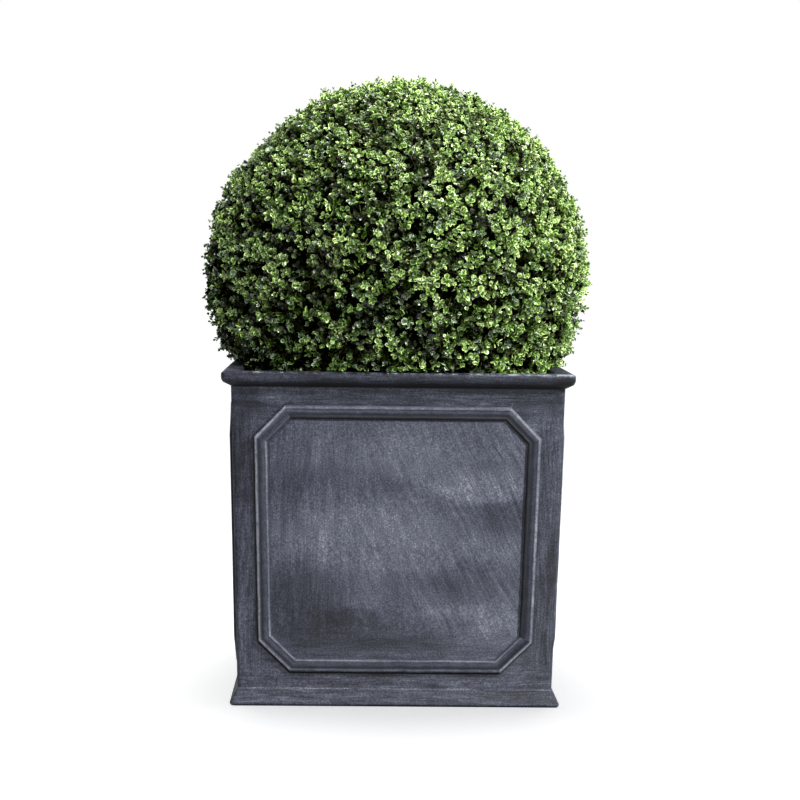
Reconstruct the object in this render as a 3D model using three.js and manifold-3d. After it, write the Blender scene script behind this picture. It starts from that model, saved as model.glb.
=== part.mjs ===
// Box topiary ball in a square planter with a lead-look finish.
// Millimetres, +Z up. The origin is the centre of the planter's flat underside, and the face that is
// seen from the front looks along -Y.

import * as THREE from 'three';
import { mergeVertices } from 'three/addons/utils/BufferGeometryUtils.js';
import Module from 'manifold-3d';

const wasm = await Module();
wasm.setup();

// Planter: one casting with a plinth, tapering walls, a moulded rim and a floor
const PLANTER_HEIGHT = 535;
const RIM_WIDTH = 560;
const BODY_TOP_WIDTH = 530;
const BODY_FOOT_WIDTH = 504;
const PLINTH_WIDTH = 527;
const PLINTH_HEIGHT = 26;
const PLINTH_CHAMFER = 17;
const PLINTH_NOSE = 5;
const RIM_HEIGHT = 24;
const RIM_EDGE = 5;
const RIM_FACE = 4;
const RIM_ROUND = 12;
const WALL = 15;
const FLOOR = 20;
const CORNER_RADIUS = 7;
const CORNER_STEPS = 3;

// Panel moulding: an octagonal raised band on each face
const BAND_MARGIN = 35;
const BAND_TOP = 482;
const BAND_FOOT = 54;
const BAND_CUT = 50;
const BAND_WIDTH = 22;
const BAND_RELIEF = 5.5;
const BAND_ROOT = 3;

// Soil and stem
const GAP = 0.3;
const SOIL_TOP = 475;
const SOIL_FALL = 6;
const STEM_TOP = 524;
const STEM_RADIUS = 19;
const STEM_FLARE = 24;
const STEM_LEAN = 5;
const STEM_SIDES = 20;
const STEM_LOBES = 5;

// Clipped ball of leaves
const BALL_RADIUS = 325;
const BALL_CENTRE = 692;
const FURTHEST_TIP = 332;
const CORE_RADIUS = 286;
const CORE_FOOT = 506;
const CORE_SIDES = 20;
const CORE_RINGS = 9;
const CORE_HOLLOW = 34;
const FORK_HEIGHT = 640;
const TWIG_PLACES = 122;
const TWIG_APART = 0.16;
const TWIG_RADIUS = 7;
const TWIG_SUNK = 24;
const TWIG_HEAD = 308;
const LEAVES_ROUND = 3;
const LEAF_BELOW_HEAD = 14;
const LEAF_LENGTH = 66;
const LEAF_WIDTH = 44;
const LEAF_WIDEST = 0.6;
const LEAF_THICKNESS = 4;
const LEAF_SPREAD = THREE.MathUtils.degToRad(67);
const LEAF_CLEAR = 1.5;
const SLIVER = 0.05;
const GOLDEN_ANGLE = Math.PI * (3 - Math.sqrt(5));
const SEED = 26;

const half = (width) => width / 2;

// A repeatable run of numbers from 0 to 1
function seededNumbers(seed) {
  const [multiplier, increment, modulus] = [1664525, 1013904223, 2 ** 32];
  let state = seed;
  return () => {
    state = (state * multiplier + increment) % modulus;
    return state / modulus;
  };
}

// A quarter turn of an arc about [x, z], from one angle to another in degrees
function arc(x, z, radius, from, to, steps) {
  return Array.from({ length: steps + 1 }, (_, i) => {
    const angle = THREE.MathUtils.degToRad(from + ((to - from) * i) / steps);
    return [x + radius * Math.cos(angle), z + radius * Math.sin(angle)];
  });
}

// Carries a profile round a closed outline. The profile runs up the outside, and place(point, step)
// says where one of its points lies at each step of the outline, counterclockwise seen from its axis.
function sweep(profile, steps, place) {
  const points = profile.map(([reach, height]) => new THREE.Vector2(reach, height));
  const geometry = new THREE.LatheGeometry(points, steps);
  const position = geometry.attributes.position;
  for (let i = 0; i < position.count; i += 1) {
    const step = Math.floor(i / profile.length) % steps;
    position.setXYZ(i, ...place(profile[i % profile.length], step));
  }
  return geometry;
}

// The outline of a square with rounded corners, where reach is half its width
function onSquare([reach, z], step) {
  const radius = Math.min(reach, CORNER_RADIUS);
  const corner = Math.floor(step / (CORNER_STEPS + 1));
  const angle = (Math.PI / 2) * (corner + (step % (CORNER_STEPS + 1)) / CORNER_STEPS);
  const middle = (Math.PI / 2) * (corner + 0.5);
  return [
    (reach - radius) * Math.sign(Math.cos(middle)) + radius * Math.cos(angle),
    (reach - radius) * Math.sign(Math.sin(middle)) + radius * Math.sin(angle),
    z,
  ];
}
const SQUARE_STEPS = 4 * (CORNER_STEPS + 1);

const onCircle = (sides) => ([reach, z], step) => {
  const angle = (2 * Math.PI * step) / sides;
  return [reach * Math.cos(angle), reach * Math.sin(angle), z];
};

// A closed solid from a geometry: seams are merged, and triangles that collapse on the axis dropped
function toSolid(geometry) {
  geometry.deleteAttribute('normal');
  geometry.deleteAttribute('uv');
  const merged = mergeVertices(geometry, 1e-3);
  const corners = merged.index.array;
  const kept = [];
  for (let i = 0; i < corners.length; i += 3) {
    const [a, b, c] = corners.slice(i, i + 3);
    if (a !== b && b !== c && c !== a) kept.push(a, b, c);
  }
  return new wasm.Manifold(new wasm.Mesh({
    numProp: 3,
    vertProperties: new Float32Array(merged.attributes.position.array),
    triVerts: new Uint32Array(kept),
  }));
}

const fuse = (solids) => solids.reduce((whole, solid) => whole.add(solid));

// The largest piece of a fused solid, without loose scraps, sealed hollows or hair-thin slivers
function largest(solid) {
  const pieces = solid.decompose();
  return pieces.reduce((best, piece) => (piece.volume() > best.volume() ? piece : best)).simplify(SLIVER);
}

function named(name, solid, look) {
  const { vertProperties, triVerts } = solid.getMesh();
  const geometry = new THREE.BufferGeometry();
  geometry.setAttribute('position', new THREE.BufferAttribute(vertProperties, 3));
  geometry.setIndex(new THREE.BufferAttribute(triVerts, 1));
  geometry.computeVertexNormals();
  const mesh = new THREE.Mesh(geometry, new THREE.MeshStandardMaterial(look));
  mesh.name = name;
  return mesh;
}

// Half the body's width at a height, on its drafted faces
function bodyReach(z) {
  const share = (z - PLINTH_HEIGHT) / (PLANTER_HEIGHT - RIM_HEIGHT - PLINTH_HEIGHT);
  return half(THREE.MathUtils.lerp(BODY_FOOT_WIDTH, BODY_TOP_WIDTH, share));
}
const cavityReach = (z) => bodyReach(z) - WALL;

// The casting without its bands, from the middle of its underside up the outside and down the inside
function planterShell() {
  const rimUnder = PLANTER_HEIGHT - RIM_HEIGHT;
  const roundHeight = PLANTER_HEIGHT - RIM_EDGE - RIM_FACE;
  const noseHeight = PLINTH_HEIGHT - PLINTH_CHAMFER;
  const lip = cavityReach(PLANTER_HEIGHT);
  return toSolid(sweep([
    [0, 0],
    [half(PLINTH_WIDTH) - 2, 0],
    [half(PLINTH_WIDTH), 3],
    ...arc(half(PLINTH_WIDTH) - PLINTH_NOSE, noseHeight - PLINTH_NOSE, PLINTH_NOSE, 0, 50, 2),
    [bodyReach(PLINTH_HEIGHT), PLINTH_HEIGHT],
    [bodyReach(rimUnder), rimUnder],
    ...arc(half(RIM_WIDTH) - RIM_ROUND, roundHeight, RIM_ROUND, -45, 0, 4),
    ...arc(half(RIM_WIDTH) - RIM_EDGE, PLANTER_HEIGHT - RIM_EDGE, RIM_EDGE, 0, 90, 3),
    ...arc(lip + RIM_EDGE, PLANTER_HEIGHT - RIM_EDGE, RIM_EDGE, 90, 180, 3),
    [cavityReach(FLOOR), FLOOR],
    [0, FLOOR],
  ], SQUARE_STEPS, onSquare));
}

// One octagonal band on the -Y face. Its profile is [inset from the band's outer edge, relief].
function panelBand() {
  const profile = [
    [0, -BAND_ROOT],
    [0, 3],
    [1.5, 4.9],
    [3.5, BAND_RELIEF],
    [6, 5.1],
    [14, 2.8],
    [16, 3.8],
    [19.5, 3.6],
    [BAND_WIDTH - 0.5, 1.8],
    [BAND_WIDTH, -BAND_ROOT],
  ];
  const onFace = ([inset, relief], step) => {
    const cut = BAND_CUT + inset * (Math.SQRT2 - 1);
    const right = [0, 1, 2, 7].includes(step);
    const upper = step > 0 && step < 5;
    const onStile = [0, 1, 4, 5].includes(step);
    const down = onStile ? cut : inset;
    const z = upper ? BAND_TOP - down : BAND_FOOT + down;
    const x = bodyReach(z) - BAND_MARGIN - (onStile ? inset : cut);
    return [right ? x : -x, -bodyReach(z) - relief, z];
  };
  return toSolid(sweep([...profile, profile[0]], 8, onFace));
}

function planter() {
  const band = panelBand();
  const bands = [0, 1, 2, 3].map((side) => band.rotate([0, 0, 90 * side]));
  return fuse([planterShell(), ...bands]);
}

function pottingSoil() {
  const foot = FLOOR + GAP;
  const edge = SOIL_TOP - SOIL_FALL;
  return toSolid(sweep([
    [0, foot],
    [cavityReach(foot) - GAP, foot],
    [cavityReach(edge) - GAP, edge],
    [half(cavityReach(edge)), SOIL_TOP],
    [0, SOIL_TOP],
  ], SQUARE_STEPS, onSquare));
}

// The short stem: five root lobes run out on the soil from a flat cut, and its top leans a little
function stem() {
  const foot = SOIL_TOP + GAP;
  const flares = [1, 0.72, 0.4, 0.18, 0.06, 0];
  const rise = STEM_TOP - foot;
  const heights = flares.map((_, i) => foot + rise * (i / (flares.length - 1)) ** 1.4);
  const profile = flares.map((flare, i) => [STEM_RADIUS + STEM_FLARE * flare, heights[i]]);
  const withLobes = ([reach, z], step) => {
    const angle = (2 * Math.PI * step) / STEM_SIDES;
    const lobe = (reach - STEM_RADIUS) * 0.35 * Math.cos(STEM_LOBES * angle);
    const radius = reach === 0 ? 0 : reach + lobe;
    const lean = STEM_LEAN * ((z - foot) / rise);
    return [radius * Math.cos(angle) + lean, radius * Math.sin(angle), z];
  };
  return toSolid(sweep([[0, foot], ...profile, [0, STEM_TOP]], STEM_SIDES, withLobes));
}

// The dense inside of the ball, open a little underneath round its own stem
function core() {
  const lowest = Math.asin((CORE_FOOT - BALL_CENTRE) / CORE_RADIUS);
  const outside = Array.from({ length: CORE_RINGS + 1 }, (_, i) => {
    const angle = THREE.MathUtils.lerp(lowest, Math.PI / 2, i / CORE_RINGS);
    return [CORE_RADIUS * Math.cos(angle), BALL_CENTRE + CORE_RADIUS * Math.sin(angle)];
  });
  outside[CORE_RINGS][0] = 0;
  const underside = [0, CORE_FOOT + CORE_HOLLOW];
  return toSolid(sweep([underside, ...outside], CORE_SIDES, onCircle(CORE_SIDES)));
}

// The ball's own stem, which carries on from the short stem to the fork inside the core
function ownStem() {
  const foot = STEM_TOP + GAP;
  const profile = [[0, foot], [STEM_RADIUS, foot], [0.8 * STEM_RADIUS, FORK_HEIGHT], [0, FORK_HEIGHT]];
  return toSolid(sweep(profile, STEM_SIDES, onCircle(STEM_SIDES)).translate(STEM_LEAN, 0, 0));
}

// Turns a shape made along +Z to point along a direction, its width towards across, from its root
function placed(geometry, root, along, across) {
  const width = across.clone().addScaledVector(along, -across.dot(along)).normalize();
  const depth = new THREE.Vector3().crossVectors(along, width);
  const place = new THREE.Matrix4().makeBasis(width, depth, along).setPosition(root);
  return toSolid(geometry.applyMatrix4(place));
}

// A leaf of eight faces, widest past its middle
function leaf(length) {
  const geometry = new THREE.OctahedronGeometry(1);
  const position = geometry.attributes.position;
  for (let i = 0; i < position.count; i += 1) {
    const along = position.getZ(i);
    const share = Math.abs(along) < 0.5 ? LEAF_WIDEST : (along + 1) / 2;
    const x = position.getX(i) * half(LEAF_WIDTH);
    const y = position.getY(i) * half(LEAF_THICKNESS);
    position.setXYZ(i, x, y, share * length);
  }
  return geometry;
}

// A three-sided twig that tapers to its head
function twig(length) {
  const geometry = new THREE.ConeGeometry(TWIG_RADIUS, length, 3);
  return geometry.rotateX(Math.PI / 2).translate(0, 0, half(length));
}

// Even directions over the ball on a golden-angle spiral, after the five that reach furthest
function twigPlaces() {
  const furthest = [[0, 0, 1], [1, 0, 0], [0, 1, 0], [-1, 0, 0], [0, -1, 0]];
  const places = furthest.map((axis) => ({ axis: new THREE.Vector3(...axis), reach: FURTHEST_TIP }));
  for (let i = 0; i < TWIG_PLACES; i += 1) {
    const height = 1 - (2 * i + 1) / TWIG_PLACES;
    const ring = Math.sqrt(1 - height * height);
    const angle = i * GOLDEN_ANGLE;
    const axis = new THREE.Vector3(ring * Math.cos(angle), ring * Math.sin(angle), height);
    const nearest = Math.min(...places.slice(0, furthest.length).map((place) => place.axis.angleTo(axis)));
    if (nearest > TWIG_APART) places.push({ axis, reach: BALL_RADIUS });
  }
  return places;
}

// One sprig: a twig that grows away from the stem's fork, a ring of leaves near its head, and one leaf
// that reaches the outside of the ball
function sprig({ axis, reach }, random) {
  const centre = new THREE.Vector3(0, 0, BALL_CENTRE);
  const fork = new THREE.Vector3(STEM_LEAN, 0, FORK_HEIGHT);
  const outside = centre.clone().addScaledVector(axis, reach);
  const head = centre.clone().addScaledVector(axis, TWIG_HEAD);
  const growth = head.clone().sub(fork).normalize();
  const onTwig = (below) => head.clone().addScaledVector(growth, -below);
  const vary = (share) => 1 + share * (2 * random() - 1);
  const anyWay = new THREE.Vector3(random() - 0.5, random() - 0.5, random() - 0.5);
  const side = anyWay.cross(axis).normalize();
  const ring = Array.from({ length: LEAVES_ROUND }, (_, i) => {
    const turn = ((i + 0.3 * random()) * 2 * Math.PI) / LEAVES_ROUND;
    const outward = side.clone().applyAxisAngle(axis, turn);
    const spread = LEAF_SPREAD * vary(0.05);
    const along = axis.clone().multiplyScalar(Math.cos(spread)).addScaledVector(outward, Math.sin(spread));
    const across = new THREE.Vector3().crossVectors(outward, axis);
    return placed(leaf(LEAF_LENGTH * vary(0.08)), onTwig(LEAF_BELOW_HEAD + 2 * i), along, across);
  });
  const tipRoot = onTwig(LEAF_BELOW_HEAD + 2);
  const tipLength = outside.distanceTo(tipRoot);
  const tip = placed(leaf(tipLength), tipRoot, outside.clone().sub(tipRoot).normalize(), side);
  const length = TWIG_HEAD - CORE_RADIUS + TWIG_SUNK;
  return [placed(twig(length), onTwig(length), growth, side), ...ring, tip];
}

// The planter's walls and the soil with a little room round them, which no leaf or twig may touch
function keptClear() {
  const outside = half(RIM_WIDTH) + LEAF_CLEAR;
  const inside = cavityReach(SOIL_TOP) - LEAF_CLEAR;
  const top = PLANTER_HEIGHT + LEAF_CLEAR;
  const soil = SOIL_TOP + LEAF_CLEAR;
  return toSolid(sweep([
    [0, FLOOR],
    [outside, FLOOR],
    [outside, top],
    [inside, top],
    [inside, soil],
    [0, soil],
  ], SQUARE_STEPS, onSquare));
}

function foliageBall() {
  const random = seededNumbers(SEED);
  const tray = keptClear();
  const lowest = SOIL_TOP + TWIG_SUNK;
  const sprigs = twigPlaces()
    .filter(({ axis }) => BALL_CENTRE + BALL_RADIUS * axis.z > lowest)
    .flatMap((place) => sprig(place, random))
    .filter((solid) => tray.intersect(solid).isEmpty());
  return largest(fuse([core(), ownStem(), ...sprigs]));
}

const topiary = new THREE.Group();
topiary.add(
  named('planter', planter(), { color: 0x4f545c, roughness: 0.62, metalness: 0.1 }),
  named('potting_soil', pottingSoil(), { color: 0x2a211b, roughness: 0.95, metalness: 0 }),
  named('stem', stem(), { color: 0x6b5a45, roughness: 0.9, metalness: 0 }),
  named('foliage_ball', foliageBall(), { color: 0x5d7d2a, roughness: 0.5, metalness: 0 }),
);

export default topiary;
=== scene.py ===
"""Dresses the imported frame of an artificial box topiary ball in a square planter.

The planter is a grey lead-look casting with a rounded rim, a chamfered plinth and a cut-cornered
moulding on each side. The ball is clipped box: limbs fork from a short stem and carry twigs, and
each twig ends in a sprig of small oval leaves set in crossed pairs. Everything is in metres, in the
frame of the CAD model, with Z up.
"""

import sys
import logging
import math
from collections.abc import Callable, Iterable
from dataclasses import dataclass
from enum import Enum
from typing import Any

import bmesh
import bpy
import numpy as np
from bmesh.types import BMEdge, BMesh, BMFace, BMLayerItem, BMVert
from mathutils import Matrix, Vector, noise


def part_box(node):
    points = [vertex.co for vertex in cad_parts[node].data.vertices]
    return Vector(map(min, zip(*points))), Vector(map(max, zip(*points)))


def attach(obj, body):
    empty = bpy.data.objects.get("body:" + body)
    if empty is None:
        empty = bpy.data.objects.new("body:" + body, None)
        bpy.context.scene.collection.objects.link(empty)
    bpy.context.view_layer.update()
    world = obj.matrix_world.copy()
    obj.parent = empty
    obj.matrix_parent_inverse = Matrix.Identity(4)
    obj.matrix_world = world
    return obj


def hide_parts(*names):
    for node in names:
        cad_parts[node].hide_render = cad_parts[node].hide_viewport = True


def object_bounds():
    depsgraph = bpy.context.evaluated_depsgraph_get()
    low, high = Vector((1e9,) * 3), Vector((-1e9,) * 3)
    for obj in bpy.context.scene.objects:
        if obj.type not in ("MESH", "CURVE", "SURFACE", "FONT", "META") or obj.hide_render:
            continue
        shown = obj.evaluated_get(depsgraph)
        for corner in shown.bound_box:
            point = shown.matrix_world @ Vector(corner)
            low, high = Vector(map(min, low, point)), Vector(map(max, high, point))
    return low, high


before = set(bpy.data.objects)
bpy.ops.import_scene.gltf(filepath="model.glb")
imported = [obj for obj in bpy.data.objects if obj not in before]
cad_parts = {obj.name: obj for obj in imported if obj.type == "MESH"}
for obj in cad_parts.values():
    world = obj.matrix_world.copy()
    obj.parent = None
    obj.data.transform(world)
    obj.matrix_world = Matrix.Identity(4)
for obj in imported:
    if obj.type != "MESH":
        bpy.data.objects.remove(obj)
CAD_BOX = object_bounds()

LOG = logging.getLogger("topiary")
GOLDEN_ANGLE = math.pi * (3 - math.sqrt(5))
FULL_TURN = 2 * math.pi
BALL_CENTRE = (0.0, 0.0, 0.692)
BLACK = (0.0, 0.0, 0.0)
WHITE = (1.0, 1.0, 1.0)
Triple = tuple[float, float, float]
Colour = Triple
Pairs = tuple[tuple[float, float], ...]


def paint(red: int, green: int, blue: int) -> Colour:
    """Turns a colour given in display steps of 0 to 255 into the linear colour that a shader reads."""
    steps = (part / 255 for part in (red, green, blue))
    return tuple(s / 12.92 if s <= 0.04045 else ((s + 0.055) / 1.055) ** 2.4 for s in steps)


class Slot(Enum):
    """The material slots of the record."""

    CASTING = "lead_look_casting"
    SOIL = "soil"
    BARK = "bark"
    LEAVES = "leaves"


class Node(Enum):
    """The CAD nodes that the pieces stand for."""

    PLANTER = "planter"
    SOIL = "potting_soil"
    STEM = "stem"
    FOLIAGE = "foliage_ball"


def install(piece: bpy.types.Object, node: Node, material: bpy.types.Material) -> None:
    """Gives a piece its finish and puts it on the body in place of a CAD node.

    Args:
        piece: The finished mesh object.
        node: The CAD node that the piece stands for.
        material: The finish.
    """
    piece.data.materials.append(material)
    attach(piece, "root")
    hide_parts(node.value)
    LOG.info("%s: %d faces, for %s", piece.name, len(piece.data.polygons), node.value)


def link(name: str, data: bpy.types.ID) -> bpy.types.Object:
    """Makes an object of a mesh, a light or a camera, at the origin, and links it to the scene.

    Args:
        name: The object's name.
        data: What it shows.

    Returns:
        The object.
    """
    made = bpy.data.objects.new(name, data)
    bpy.context.scene.collection.objects.link(made)
    return made


def finish_mesh(name: str, shape: BMesh, crease: float, flat_from: float) -> bpy.types.Object:
    """Turns a modelled shape into an object with smooth curves and flat broad faces.

    Args:
        name: The name of the piece.
        shape: The modelled shape, which is freed.
        crease: The angle in degrees from which an edge stays sharp.
        flat_from: The area in square metres from which a face is shaded flat.

    Returns:
        The linked object.
    """
    bmesh.ops.recalc_face_normals(shape, faces=shape.faces[:])
    for face in shape.faces:
        face.smooth = face.calc_area() < flat_from
    mesh = bpy.data.meshes.new(name)
    shape.to_mesh(mesh)
    shape.free()
    mesh.set_sharp_from_angle(angle=math.radians(crease))
    return link(name, mesh)


def only(items: Iterable[Any], kind: type) -> list[Any]:
    """Picks the items of one kind out of what a mesh tool made."""
    return [item for item in items if isinstance(item, kind)]


def lumps(place: Vector, broad: float, fine: float, share: float) -> float:
    """Gives smooth noise about 0 by so many broad and fine lumps to a unit, and the broad ones' share."""
    return noise.noise(place * broad) * share + noise.noise(place * fine) * (1 - share)


def table_of(kind: type, *rows: tuple[Any, ...]) -> tuple[Any, ...]:
    """Makes one thing of a kind from each row of values."""
    return tuple(kind(*row) for row in rows)


def cut_corners(shape: BMesh, width: float, steps: int) -> BMFace:
    """Cuts the corners off a flat face, or rounds them.

    Args:
        shape: A shape of that face alone.
        width: How far from the corner the cut starts.
        steps: 1 for a straight cut, more for a round one.

    Returns:
        The face.
    """
    bmesh.ops.bevel(
        shape, geom=shape.verts[:], offset=width, offset_type="OFFSET", segments=steps, profile=0.5,
        affect="VERTICES", material=-1,
    )
    shape.faces.ensure_lookup_table()
    return shape.faces[0]


def draw_on(shape: BMesh, cap: BMFace, first: bool) -> BMFace:
    """Draws a closed shape on from its cap, with no face left inside.

    Args:
        shape: The shape.
        cap: The face that it ends in.
        first: True where the cap is the shape's other end too, and stays.

    Returns:
        The new cap, at the old one's place.
    """
    made = bmesh.ops.extrude_face_region(shape, geom=[cap], use_keep_orig=True)["geom"]
    if not first:
        bmesh.ops.delete(shape, geom=[cap], context="FACES_ONLY")
    return only(made, BMFace)[0]


def arithmetic(operation: str, reflected: bool = False) -> Callable[["Signal", Any], "Signal"]:
    """Makes a method of a signal that adds one Math node.

    Args:
        operation: The node's operation.
        reflected: True where the signal is the second of the two values.

    Returns:
        The method.
    """

    def method(signal: "Signal", other: Any) -> "Signal":
        """Gives what the operation makes of the signal and the other value."""
        return signal.sum(operation, other, signal) if reflected else signal.sum(operation, signal, other)

    return method


class Signal:
    """The output socket of a shader node, which takes part in Python arithmetic by adding Math nodes."""

    __add__, __radd__ = arithmetic("ADD"), arithmetic("ADD", reflected=True)
    __sub__, __rsub__ = arithmetic("SUBTRACT"), arithmetic("SUBTRACT", reflected=True)
    __mul__, __rmul__ = arithmetic("MULTIPLY"), arithmetic("MULTIPLY", reflected=True)
    __truediv__, __rtruediv__ = arithmetic("DIVIDE"), arithmetic("DIVIDE", reflected=True)
    larger = arithmetic("MAXIMUM")

    def __init__(self, sheet: "NodeSheet", socket: bpy.types.NodeSocket) -> None:
        """Wraps one output socket of one sheet of nodes."""
        self.sheet = sheet
        self.socket = socket

    def sum(self, operation: str, first: Any, second: Any = 0.0) -> "Signal":
        """Adds one Math or Vector Math node.

        Args:
            operation: The node's operation.
            first: The first value, as a number, a tuple or a signal.
            second: The second value, in the same way.

        Returns:
            The result of the node.
        """
        several = any(
            isinstance(value, tuple) or (isinstance(value, Signal) and value.socket.type != "VALUE")
            for value in (first, second)
        )
        kind = "ShaderNodeVectorMath" if several else "ShaderNodeMath"
        return self.sheet.node(kind, {"operation": operation}, {0: first, 1: second})

    def __abs__(self) -> "Signal":
        """Drops the sign."""
        return self.sum("ABSOLUTE", self)

    def rise(self, low: Any, high: Any) -> "Signal":
        """Goes smoothly from 0 at low to 1 at high, which may be below low."""
        settings = {"interpolation_type": "SMOOTHSTEP"}
        return self.sheet.node("ShaderNodeMapRange", settings, {0: self, 1: low, 2: high})

    def line(self, centre: float, half_width: float) -> "Signal":
        """Is 1 on a soft line at a value and 0 further off than the half width."""
        return abs(self - centre).rise(half_width, 0.0)


class NodeSheet:
    """The nodes of a material or a world, with one method that makes any node."""

    def __init__(self, name: str, kept_in: Any = None) -> None:
        """Starts a material or the like with no nodes.

        Args:
            name: Its name.
            kept_in: The collection of such things in the file, or None for the materials.
        """
        self.owner = (bpy.data.materials if kept_in is None else kept_in).new(name)
        self.owner.use_nodes = True
        self.tree = self.owner.node_tree
        self.tree.nodes.clear()

    def make(self, kind: str, settings: dict[str, Any], inputs: dict[str | int, Any]) -> bpy.types.Node:
        """Makes a node, sets it up and feeds its sockets.

        Args:
            kind: The node's type.
            settings: Its settings, set before the sockets; "stops" holds a ramp's (place, colour) pairs.
            inputs: A value or a signal for each socket, by name or index.

        Returns:
            The node.
        """
        made = self.tree.nodes.new(kind)
        for name, value in settings.items():
            if name == "stops":
                for number, (place, colour) in enumerate(value):
                    stops = made.color_ramp.elements
                    stop = stops[number] if number < 2 else stops.new(place)
                    stop.position, stop.color = place, (*colour, 1.0)
            else:
                setattr(made, name, value)
        for key, value in inputs.items():
            socket = made.inputs[key]
            if isinstance(value, Signal):
                self.tree.links.new(value.socket, socket)
            elif socket.type == "RGBA":
                socket.default_value = (*value, 1.0)
            elif socket.type == "VECTOR" and not isinstance(value, tuple):
                socket.default_value = (value, value, value)
            else:
                socket.default_value = value
        return made

    def node(
        self,
        kind: str,
        settings: dict[str, Any] | None = None,
        inputs: dict[str | int, Any] | None = None,
        output: str | int = 0,
    ) -> Signal:
        """Makes a node as make does, and gives one of its outputs by name or index."""
        return Signal(self, self.make(kind, settings or {}, inputs or {}).outputs[output])

    def place(self) -> Signal:
        """Gives the place on the object, in metres."""
        return self.node("ShaderNodeTexCoord", output="Object")

    def attribute(self, name: str) -> Signal:
        """Gives a number that the mesh carries."""
        return self.node("ShaderNodeAttribute", {"attribute_name": name}, output="Fac")

    def chart(self, name: str) -> tuple[Signal, Signal]:
        """Gives the two numbers of a UV map, in metres."""
        both = self.node("ShaderNodeUVMap", {"uv_map": name})
        return self.split(both)[:2]

    def split(self, vector: Signal) -> list[Signal]:
        """Gives the three parts of a vector."""
        made = self.make("ShaderNodeSeparateXYZ", {}, {0: vector})
        return [Signal(self, socket) for socket in made.outputs]

    def join(self, x: Any, y: Any, z: Any) -> Signal:
        """Makes a vector of three numbers."""
        return self.node("ShaderNodeCombineXYZ", None, {0: x, 1: y, 2: z})

    def length(self, vector: Signal) -> Signal:
        """Gives the length of a vector."""
        return self.node("ShaderNodeVectorMath", {"operation": "LENGTH"}, {0: vector}, "Value")

    def noise(
        self, where: Signal, scale: float, detail: float = 2.0, rough: float = 0.5, bend: float = 0.0
    ) -> Signal:
        """Gives smooth noise from 0 to 1 by patches to a unit, finer layers, their strength, and a bend."""
        values = {"Vector": where, "Scale": scale, "Detail": detail, "Roughness": rough, "Distortion": bend}
        return self.node("ShaderNodeTexNoise", None, values)

    def mix(self, share: Any, first: Any, second: Any) -> Signal:
        """Mixes two colours, as tuples or signals, by the share of the second."""
        settings = {"data_type": "RGBA", "clamp_factor": True}
        return self.node("ShaderNodeMix", settings, {0: share, 6: first, 7: second}, 2)

    def ramp(self, value: Signal, stops: Iterable[tuple[float, Colour]]) -> Signal:
        """Turns a number into a colour through the stops of a ramp."""
        return self.node("ShaderNodeValToRGB", {"stops": list(stops)}, {0: value})

    def curve(self, value: Signal, stops: Iterable[tuple[float, float]]) -> Signal:
        """Turns a number into another one through the stops of a ramp."""
        return self.split(self.ramp(value, [(place, (level, level, level)) for place, level in stops]))[0]

    def surface(self, colour: Signal, roughness: Signal, relief: Signal, depth: float, gloss: float) -> None:
        """Ends the sheet in one Principled surface.

        Args:
            colour: The base colour.
            roughness: The roughness.
            relief: The height for the bump.
            depth: The height of the relief in metres.
            gloss: The specular level.
        """
        bump = self.node("ShaderNodeBump", None, {"Strength": 1.0, "Distance": depth, "Height": relief})
        values = {"Base Color": colour, "Roughness": roughness, "Specular IOR Level": gloss, "Normal": bump}
        self.end(self.node("ShaderNodeBsdfPrincipled", None, values))

    def end(self, shader: Signal, kind: str = "ShaderNodeOutputMaterial") -> None:
        """Links a shader to the output."""
        self.make(kind, {}, {"Surface": shader})


@dataclass(frozen=True)
class PanelLines:
    """Where the lines of a planter's side lie, for its shape and for the patina that follows them."""

    foot_half: float = 0.252
    foot_height: float = 0.026
    top_half: float = 0.265
    top_height: float = 0.511
    rim_top: float = 0.535
    band_margin: float = 0.035
    band_foot: float = 0.054
    band_top: float = 0.482
    band_cut: float = 0.050
    band_width: float = 0.022
    wall: float = 0.015

    @property
    def draft(self) -> float:
        """How much wider the side is for each metre up."""
        return (self.top_half - self.foot_half) / (self.top_height - self.foot_height)

    @property
    def band_middle(self) -> float:
        """The height of the moulding's centre."""
        return (self.band_top + self.band_foot) / 2

    @property
    def band_half(self) -> float:
        """Half the moulding's height."""
        return (self.band_top - self.band_foot) / 2

    def reach(self, height: Any) -> Any:
        """Gives the half width of the body at a height, as a number or a signal."""
        return self.foot_half + (height - self.foot_height) * self.draft

    def to_band(self, across: Signal, height: Signal) -> Signal:
        """Gives the distance outside the moulding's outer edge, below 0 inside it.

        Args:
            across: The distance from the middle of the side.
            height: The height above the ground.

        Returns:
            The distance in metres.
        """
        beside = abs(across)
        above = abs(height - self.band_middle)
        stile = self.reach(height) - self.band_margin
        corner = (beside + above - stile - (self.band_half - self.band_cut)) * math.sqrt(0.5)
        return (beside - stile).larger(above - self.band_half).larger(corner)


@dataclass(frozen=True)
class RubbedPatch:
    """A soft oval on a planter's side where the wash is thicker, or thinner where the strength is below 0."""

    across: float
    height: float
    half_width: float
    half_height: float
    strength: float

    def tone(self, across: Signal, height: Signal) -> Signal:
        """Gives what the patch adds to the tone at a place on the side."""
        x, z = (across - self.across) / self.half_width, (height - self.height) / self.half_height
        return (x * x + z * z).rise(1.7, 0.0) * self.strength


@dataclass(frozen=True)
class SideReading:
    """What the nodes of the wash read at a point of a planter's side.

    The edge is the distance outside the moulding. The panel is 1 inside it, and the rim 1 from the
    rim's underside up. Cloud, billow, mottle and grain are noise from 0 to 1, from broad to fine.
    """

    across: Signal
    height: Signal
    side: Signal
    edge: Signal
    panel: Signal
    rim: Signal
    cloud: Signal
    billow: Signal
    mottle: Signal
    grain: Signal


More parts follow.
